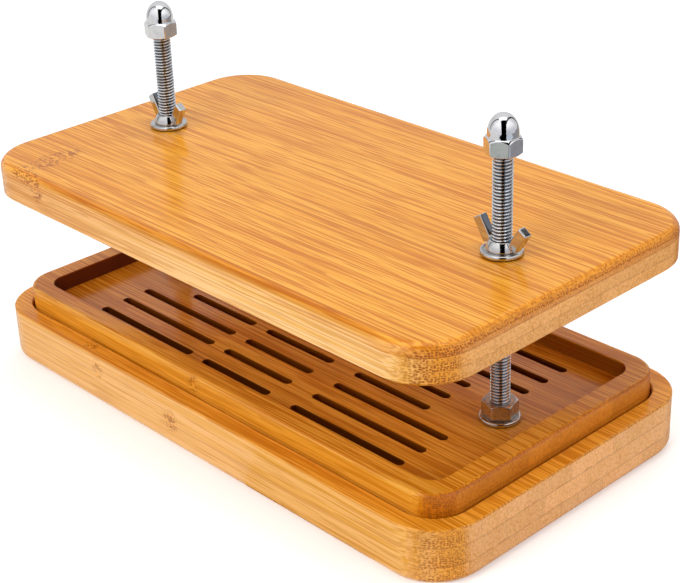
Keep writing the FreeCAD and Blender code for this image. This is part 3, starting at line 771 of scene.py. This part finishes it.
def steel_material(name, plate, film, polish, grain, painted_root_shade=False, painted_inner_reflection=False, painted_shadow_levels=()):
    """One plated finish. Its flags paint shade into the grooves of a thread about the bolts' axes,
    a dark reflection on the faces that look towards those axes, and a shadow along a low edge at
    each of some levels."""
    group = bpy.data.node_groups.get("Plated Steel") or steel_group()
    material, tree, shader = new_material(name)
    millimetres, normal = where_in_piece(tree)
    steel = node("ShaderNodeGroup", {
        "Position": millimetres, "Plate": (*plate, 1), "Film": film, "Polish": polish,
        "Tarnish": (*bpy.context.scene.press_steel.tarnish, 1)}, node_tree=group).outputs
    bump = node("ShaderNodeBump", {"Height": steel["Height"], "Strength": grain,
                                   "Distance": 0.00002})
    colour = steel["Color"]
    place = split(millimetres)
    # painted shadow: a dark line just over each given level, along the washers' lower edges
    for level in painted_shadow_levels:
        near = calc("ABSOLUTE", calc("SUBTRACT", place[2], 1000 * level))
        colour = mix_colour(ease(near, 0.55, 0.35), colour, PAINTED_CONTACT_SHADOW)
    if painted_root_shade or painted_inner_reflection:
        # both bolts at once: X counts from the nearer one, away from the middle
        axis, _, _ = node_axis("bolt_right")
        aside = calc("SUBTRACT", calc("ABSOLUTE", place[0]), 1000 * axis.x)
        spoke = axes(aside, calc("SUBTRACT", place[1], 1000 * axis.y), 0.0)
        radius = vector_calc("LENGTH", spoke)["Value"]
    # painted reflection: the faces that turn towards a bolt are darkened
    if painted_inner_reflection:
        facing = split(normal)
        inward = axes(times(facing[0], calc("SIGN", place[0])), facing[1], 0.0)
        towards = vector_calc("DOT_PRODUCT", spoke, inward)["Value"]
        turned = ease(calc("DIVIDE", towards, radius), -0.55, -0.75)
        colour = mix_colour(times(ease(radius, 3.2, 4.0), turned), colour, PAINTED_INNER_REFLECTION)
    # painted shade: the thread darkens towards its root
    if painted_root_shade:
        crest = 500 * bpy.context.scene.press_hardware.thread_diameter
        colour = mix_colour(ease(radius, crest - 0.14, crest - 0.42), colour, PAINTED_GROOVE_SHADE)
    feed_all(shader, {"Base Color": colour, "Roughness": steel["Roughness"],
                      "Normal": bump.outputs[0], "Metallic": 1.0})
    return material


def thread_rod(low, high, sizes):
    """A right-hand thread: one pitch of its outline, swept up a helix and cut square."""
    depth, pitch = sizes.thread_depth, sizes.thread_pitch
    clear_selection()
    bpy.ops.mesh.primitive_plane_add(size=0.001, location=(0, 0, low - 1.6 * pitch))
    rod = bpy.context.object
    edit_whole(rod)
    bpy.ops.mesh.merge(type="CENTER")
    bpy.ops.transform.translate(value=(sizes.thread_diameter / 2 - depth, 0, 0))
    # half a pitch, from the root out to the crest, and the same steps back in: each step is a
    # share of the depth and a share of the pitch
    outline = ((0.0, 0.09), (0.12, 0.05), (0.40, 0.13), (0.38, 0.14), (0.10, 0.05), (0.0, 0.04))
    for way in (1, -1):
        for out, up in outline:
            bpy.ops.mesh.extrude_vertices_move(
                TRANSFORM_OT_translate={"value": (way * out * depth, 0, up * pitch)})
    leave_edit_mode()
    sweep = rod.modifiers.new("Helix", "SCREW")
    sweep.axis = "Z"
    sweep.angle = 2 * math.pi
    sweep.screw_offset = pitch
    sweep.iterations = math.ceil((high - low) / pitch) + 3
    sweep.steps = sweep.render_steps = sizes.thread_steps
    apply_modifier(rod, sweep)
    place_in_mesh(rod)
    close_mesh(rod)
    edit_whole(rod)
    bpy.ops.mesh.fill_holes(sides=0)
    bpy.ops.mesh.normals_make_consistent(inside=False)
    leave_edit_mode()
    combine(rod, upright_cylinder(low, high, sizes.thread_diameter, HOLE_SIDES), "INTERSECT")
    activate(rod)
    bpy.ops.object.shade_smooth_by_angle(angle=math.radians(60))
    return rod


class PRESS_OT_bolts(Operator):
    """Model a fully threaded bolt with its hexagonal head and stand both in the press"""

    bl_idname = "press.bolts"
    bl_label = "Bolts"

    def execute(self, context):
        sizes, look = context.scene.press_hardware, context.scene.press_steel
        finish = steel_material("Plated thread", look.thread, film=0.5, polish=0.16, grain=0.15,
                                painted_root_shade=True)
        _, low, high = node_axis("bolt_left")
        pattern = thread_rod(sizes.head_height - PAST / 2, high - low, sizes)
        head = hexagon_blank(sizes.head_height, sizes, foot=sizes.hexagon_bevel)
        soften(head, sizes.edge_break)
        activate(pattern)
        head.select_set(True)
        bpy.ops.object.join()
        stand_copies(pattern, {"bolt_": "strainer"}, finish, sizes.nut_turn)
        return {"FINISHED"}


class PRESS_OT_hex_nuts(Operator):
    """Model a hex nut and stand one on each bolt, on the strainer tray's floor"""

    bl_idname = "press.hex_nuts"
    bl_label = "Hex Nuts"

    def execute(self, context):
        sizes, look = context.scene.press_hardware, context.scene.press_steel
        finish = steel_material("Plated hex nuts", look.plate, film=0.6, polish=0.27, grain=0.2)
        _, low, high = node_axis("hex_nut_left")
        pattern = hexagon_blank(high - low, sizes, sizes.hexagon_bevel, sizes.hexagon_bevel)
        cut_bore(pattern, high - low + PAST, sizes.nut_bore)
        soften(pattern, sizes.edge_break)
        stand_copies(pattern, {"hex_nut_": "strainer"}, finish, sizes.nut_turn)
        return {"FINISHED"}


class PRESS_OT_cap_nuts(Operator):
    """Model a domed cap nut and put one on the end of each bolt"""

    bl_idname = "press.cap_nuts"
    bl_label = "Cap Nuts"

    def execute(self, context):
        sizes, look = context.scene.press_hardware, context.scene.press_steel
        finish = steel_material("Polished cap nuts", look.dome, film=0.2, polish=0.06, grain=0.05)
        pattern = hexagon_blank(sizes.cap_hexagon, sizes, sizes.cap_bevel, sizes.hexagon_bevel)
        # the upper half of an ellipsoid, drawn down into the hexagon
        centre = sizes.cap_hexagon + sizes.cap_neck
        clear_selection()
        bpy.ops.mesh.primitive_uv_sphere_add(segments=72, ring_count=36,
                                             radius=sizes.cap_diameter / 2,
                                             location=(0, 0, centre))
        dome = context.object
        dome.scale.z = 2 * sizes.cap_rise / sizes.cap_diameter
        place_in_mesh(dome)
        edit_whole(dome)
        bpy.ops.mesh.bisect(plane_co=(0, 0, centre - 1e-5), plane_no=(0, 0, 1),
                            clear_inner=True, threshold=1e-8)
        extrude_up(-sizes.cap_neck - PAST)
        bpy.ops.mesh.edge_face_add()
        close_mesh(dome)
        combine(pattern, dome, "UNION")
        cut_bore(pattern, sizes.cap_bore, sizes.nut_bore)
        soften(pattern, sizes.edge_break)
        stand_copies(pattern, {"cap_nut_": "strainer"}, finish, sizes.cap_turn)
        return {"FINISHED"}


class PRESS_OT_wing_nuts(Operator):
    """Model a cast wing nut and stand one on each press washer"""

    bl_idname = "press.wing_nuts"
    bl_label = "Wing Nuts"

    def execute(self, context):
        sizes, look = context.scene.press_hardware, context.scene.press_steel
        finish = steel_material("Plated wing nuts", look.plate, film=0.35, polish=0.09,
                                grain=0.12, painted_inner_reflection=True)
        # the body: a straight foot under two cones, the upper one steeper
        foot, top = sizes.wing_foot_diameter / 2, sizes.wing_top_diameter / 2
        waist = 0.91
        pattern = upright_cylinder(0, sizes.wing_foot_height, foot, ROUND_SIDES)
        select_parts(pattern, "FACE", lambda f: f.normal.z > 0.9)
        rise = (sizes.wing_body_height - sizes.wing_foot_height) / 2
        for narrowed in (waist, top / foot / waist):
            extrude_up(rise)
            bpy.ops.transform.resize(value=(narrowed, narrowed, 1), center_override=(0, 0, 0))
        leave_edit_mode()
        # the wings lean outwards, and are cut larger by what the smoothing wears off
        root, tip = Vector(sizes.wing_root), Vector(sizes.wing_tip)
        worn_off = sizes.wing_round / 5
        middle, lean = (root + tip) / 2, math.atan2(tip.x - root.x, tip.y - root.y)
        for way in (1, -1):
            clear_selection()
            bpy.ops.mesh.primitive_cube_add(size=1, location=(way * middle.x, 0, middle.y),
                                            rotation=(0, way * lean, 0))
            wing = context.object
            wing.scale = (sizes.wing_depth + worn_off, sizes.wing_thickness + worn_off,
                          (tip - root).length)
            place_in_mesh(wing)
            combine(pattern, wing, "UNION")
        cut_bore(pattern, sizes.wing_tip[1] + 2 * PAST, sizes.nut_bore + 0.0001)
        # cast edges: a fine even mesh, worn round
        cast = pattern.modifiers.new("Cast", "REMESH")
        cast.mode = "VOXEL"
        cast.voxel_size = sizes.wing_round / 3
        worn = pattern.modifiers.new("Worn Edges", "SMOOTH")
        worn.factor = 0.5
        worn.iterations = 18
        apply_modifier(pattern, cast)
        apply_modifier(pattern, worn)
        bpy.ops.object.shade_smooth()
        stand_copies(pattern, {"wing_nut_": "wing_{}"}, finish, sizes.wing_turn)
        return {"FINISHED"}


class PRESS_OT_washers(Operator):
    """Model one washer and copy it to all six places"""

    bl_idname = "press.washers"
    bl_label = "Washers"

    def execute(self, context):
        sizes, look = context.scene.press_hardware, context.scene.press_steel
        in_view = ("press_washer_left", "floor_washer_left")
        finish = steel_material("Plated washers", look.plate, film=0.45, polish=0.12, grain=0.15,
                                painted_shadow_levels=[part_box(washer)[0].z for washer in in_view])
        low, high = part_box("press_washer_left")
        height = high.z - low.z
        pattern = upright_cylinder(0, height, (high.x - low.x) / 2, ROUND_SIDES)
        cut_bore(pattern, height + PAST, sizes.washer_bore)

        def on_rim(edge):
            outside = all(pattern.data.vertices[i].co.xy.length > sizes.washer_bore / 2 + 0.0005
                          for i in edge.vertices)
            return outside and edge_rise(pattern, edge) < 1e-5

        select_parts(pattern, "EDGE", on_rim)
        bpy.ops.mesh.bevel(offset=sizes.washer_round, segments=5, affect="EDGES")
        leave_edit_mode()
        soften(pattern, 0.5 * sizes.edge_break)
        stand_copies(pattern, {"press_washer_": "press", "floor_washer_": "strainer",
                               "bolt_washer_": "strainer"}, finish)
        return {"FINISHED"}


# ---- Studio ----

BLACK = (0.0, 0.0, 0.0)

# how a card's colour changes along an axis (0 for X, 2 for Z) from start to end, in metres
Fade = namedtuple("Fade", "axis start end colour")


def seen_directly(tree):
    """One for the camera, mirrors and glass, nothing for the light that surfaces scatter."""
    path = tree.nodes.new("ShaderNodeLightPath").outputs
    seen = calc("MAXIMUM", path["Is Camera Ray"], path["Is Glossy Ray"])
    return calc("MAXIMUM", seen, path["Is Transmission Ray"])


def soft_lamp(name, place, aim, size, power):
    """A square area lamp that points at a spot."""
    clear_selection()
    bpy.ops.object.light_add(type="AREA", location=place)
    lamp = bpy.context.object
    lamp.name = name
    lamp.data.shape = "SQUARE"
    lamp.data.size = size
    lamp.data.energy = power
    lamp.rotation_euler = (Vector(place) - Vector(aim)).to_track_quat("Z", "Y").to_euler()
    lamp.visible_glossy = False


def show_in_mirrors(card, name, colour, fade=None):
    """Let a card be seen in shiny surfaces only."""
    card.name = name
    material, tree, shader = new_material(name)
    light = (*colour, 1)
    if fade:
        place = split(tree.nodes.new("ShaderNodeTexCoord").outputs["Object"])[fade.axis]
        light = mix_colour(ease(place, fade.start, fade.end), light, (*fade.colour, 1))
    feed_all(shader, {"Base Color": (*BLACK, 1), "Specular IOR Level": 0,
                      "Emission Strength": 1.0, "Emission Color": light})
    card.data.materials.append(material)
    card.visible_camera = card.visible_diffuse = card.visible_shadow = False
    card.visible_transmission = card.visible_volume_scatter = False


def view_axes(azimuth):
    """The level directions to the right of the camera and towards it."""
    return (Vector((math.cos(azimuth), math.sin(azimuth), 0)),
            Vector((math.sin(azimuth), -math.cos(azimuth), 0)))


def tent_card(name, azimuth, across, heights, reach, colour, fade=None):
    """A curved card round the press. across is how far it spans to the left and right of the
    camera, and heights how far from the horizon up over the top, in degrees."""
    right, front = view_axes(azimuth)
    card = add_piece(bpy.ops.mesh.primitive_uv_sphere_add, segments=180, ring_count=90,
                     radius=reach, rotation=right.to_track_quat("Z", "Y").to_euler())

    def outside(face):
        side = math.degrees(math.asin(max(-1, min(1, face.center.dot(right) / reach))))
        rise = math.degrees(math.atan2(face.center.z, face.center.dot(front)))
        return not (across[0] < side < across[1] and heights[0] < rise < heights[1])

    cut_away(card, outside)
    show_in_mirrors(card, name, colour, fade)


def tent_hoop(name, azimuth, side, turn, offset, reach, width):
    """Half of an upright dark hoop of the tent, on one side of the press. Its plane faces a
    direction turned from that side towards the camera, and stands off the middle."""
    right, front = view_axes(azimuth)
    axis = side * right * math.cos(turn) + front * math.sin(turn)
    hoop = add_piece(
        bpy.ops.mesh.primitive_torus_add, major_radius=math.sqrt(reach ** 2 - offset ** 2),
        minor_radius=width / 2, major_segments=120, minor_segments=8, location=offset * axis,
        rotation=axis.to_track_quat("Z", "Y").to_euler())
    cut_away(hoop, lambda f: f.center.z < 0.002 or side * f.center.dot(right) < 0.26 * reach)
    show_in_mirrors(hoop, name, (0.04, 0.04, 0.045))


def table_card(name, corners, level, colour, fade=None):
    """A flat card low over the table, given by its near and its far two corners in metres."""
    card = add_piece(bpy.ops.mesh.primitive_plane_add, size=1, location=(0, 0, level))
    for vertex, corner in zip(card.data.vertices, corners):
        vertex.co.xy = corner
    show_in_mirrors(card, name, colour, fade)


def rectangle(left, right, near, far):
    """The four corners of a table card that stands square."""
    return ((left, near), (right, near), (left, far), (right, far))


def wedge(axis, azimuth, turns):
    """The four corners of a strip on the table that widens from a bolt towards the camera,
    between two directions in degrees."""
    ways = [azimuth + math.radians(turn) for turn in turns]
    return [(axis.x + reach * math.sin(way), axis.y - reach * math.cos(way))
            for reach in (0.12, 1.2) for way in ways]


def add_camera(scene, setup):
    """A camera at the setup's distance, aimed at its target and leaning by its roll."""
    right, front = view_axes(setup.azimuth)
    back = front * math.cos(setup.elevation) + Vector((0, 0, math.sin(setup.elevation)))
    turn = Matrix((right, back.cross(right), back)).transposed()
    clear_selection()
    bpy.ops.object.camera_add(location=Vector(setup.target) + back * setup.distance)
    camera = bpy.context.object
    camera.name = "Camera"
    camera.rotation_euler = (turn @ Matrix.Rotation(setup.roll, 3, "Z")).to_euler()
    camera.data.lens = setup.lens
    camera.data.sensor_width = 36
    camera.data.clip_start = 0.01
    scene.camera = camera


def add_world(scene, ambient):
    """A world that is white where it is seen, and a plain even light otherwise."""
    world = bpy.data.worlds.new("Studio")
    scene.world = world
    world.use_nodes = True
    tree = world.node_tree
    feed_all(tree.nodes["Background"], {
        "Color": (1, 1, 1, 1),
        "Strength": scale_add(seen_directly(tree), 1.0 - ambient, ambient)})


def add_floor():
    """A pale floor, lifted to white where nothing shades it."""
    floor = add_piece(bpy.ops.mesh.primitive_plane_add, size=8, location=(0, 0, -0.00005))
    floor.name = "Floor"
    paper, tree, shader = new_material("Studio paper")
    feed_all(shader, {
        "Base Color": (0.9, 0.9, 0.9, 1), "Roughness": 0.9, "Specular IOR Level": 0.1,
        "Emission Color": (1, 1, 1, 1), "Emission Strength": times(seen_directly(tree), 0.32)})
    floor.data.materials.append(paper)


def add_tent(azimuth):
    """A white tent, seen only in the metal and the lacquer: a slit in front of the camera, a
    window over it, bright panels beside it, and a back with dark hoops."""
    tent_card("Slit", azimuth, (-12.5, 18.5), (0, 68), 0.58, BLACK)
    tent_card("Window", azimuth, (-22, 21), (73, 89), 0.70, (2.6,) * 3)
    tent_card("Panel left", azimuth, (-78, -12), (0, 73), 0.85, (0.85, 0.84, 0.87),
              Fade(2, 0.15, 0.6, (1.25,) * 3))
    tent_card("Panel right", azimuth, (18, 80), (0, 73), 0.85, (0.68, 0.68, 0.73),
              Fade(2, 0.15, 0.6, (1.3,) * 3))
    tent_card("Back", azimuth, (-88, 88), (96, 179), 1.95, (0.74, 0.74, 0.75),
              Fade(2, 0.5, 1.5, (0.85,) * 3))
    tent_hoop("Hoop left", azimuth, -1, math.radians(46.8), offset=0.26, reach=0.80, width=0.10)
    tent_hoop("Hoop right", azimuth, 1, math.radians(23.9), offset=0.40, reach=0.80, width=0.12)


def add_table(azimuth):
    """The table as the metal and the lacquer see it: grey, darker to the far right, with the
    slit's reflection in front of each bolt and a pale patch near the camera."""
    low, far = 0.0002, 2.5
    table_card("Table", rectangle(-far, far, -far, far), low, (0.84, 0.83, 0.81),
               Fade(0, 0.05, 0.26, (0.62, 0.68, 0.76)))
    table_card("Table, far right", rectangle(0.05, far, 0.12, far), 2 * low, (0.42, 0.34, 0.28),
               Fade(0, 0.15, 0.24, (0.31, 0.31, 0.33)))
    for side, turns in zip(SIDES, ((-12, 22), (-18, 16))):
        axis, _, _ = node_axis("bolt_" + side)
        table_card("Slit on the table " + side, wedge(axis, azimuth, turns), 2 * low, BLACK)
    table_card("Table, near", rectangle(0.125, 0.19, -0.285, -0.23), 3 * low, (0.50, 0.53, 0.50))


class PRESS_OT_studio(Operator):
    """Set up the floor, the soft light, the reflection cards and the camera"""

    bl_idname = "press.studio"
    bl_label = "Studio"

    def execute(self, context):
        scene, setup = context.scene, context.scene.press_studio
        scene.view_settings.view_transform = "Standard"
        add_camera(scene, setup)
        add_world(scene, setup.ambient)
        add_floor()
        # a large key from the front left, a fill from the far right and a top lamp
        soft_lamp("Key", (0.02, -1.05, 0.72), setup.target, 0.8, setup.key_power)
        soft_lamp("Fill", (1.1, 0.35, 0.6), setup.target, 0.8, setup.fill_power)
        soft_lamp("Top", (-0.1, 0.25, 1.2), setup.target, 0.6, setup.top_power)
        add_tent(setup.azimuth)
        add_table(setup.azimuth)
        return {"FINISHED"}


# ---- Add-on ----


class PRESS_PT_panel(Panel):
    """Lists the steps that dress the press, in order"""

    bl_idname = "PRESS_PT_panel"
    bl_label = "Tofu Press"
    bl_space_type = "VIEW_3D"
    bl_region_type = "UI"
    bl_category = "Tofu Press"

    def draw(self, context):
        layout = self.layout
        for step in STEPS:
            layout.operator(step.bl_idname)
        for group in GROUPS:
            box = layout.box()
            settings = getattr(context.scene, group)
            for name in settings.__annotations__:
                box.prop(settings, name)


STEPS = (PRESS_OT_drip_tray, PRESS_OT_strainer_tray, PRESS_OT_press_board, PRESS_OT_bolts,
         PRESS_OT_hex_nuts, PRESS_OT_cap_nuts, PRESS_OT_wing_nuts, PRESS_OT_washers,
         PRESS_OT_studio)
GROUPS = {"press_hardware": HardwareSizes, "press_bamboo": BambooLook,
          "press_steel": SteelLook, "press_studio": StudioSetup}


def register():
    for cls in (*GROUPS.values(), *STEPS, PRESS_PT_panel):
        bpy.utils.register_class(cls)
    for name, cls in GROUPS.items():
        setattr(bpy.types.Scene, name, PointerProperty(type=cls))


def unregister():
    for name in GROUPS:
        delattr(bpy.types.Scene, name)
    for cls in reversed((*GROUPS.values(), *STEPS, PRESS_PT_panel)):
        bpy.utils.unregister_class(cls)


def main():
    """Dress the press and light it."""
    register()
    bpy.ops.press.drip_tray()
    bpy.ops.press.strainer_tray()
    bpy.ops.press.press_board()
    bpy.ops.press.bolts()
    bpy.ops.press.hex_nuts()
    bpy.ops.press.cap_nuts()
    bpy.ops.press.wing_nuts()
    bpy.ops.press.washers()
    bpy.ops.press.studio()


if __name__ == "__main__":
    main()
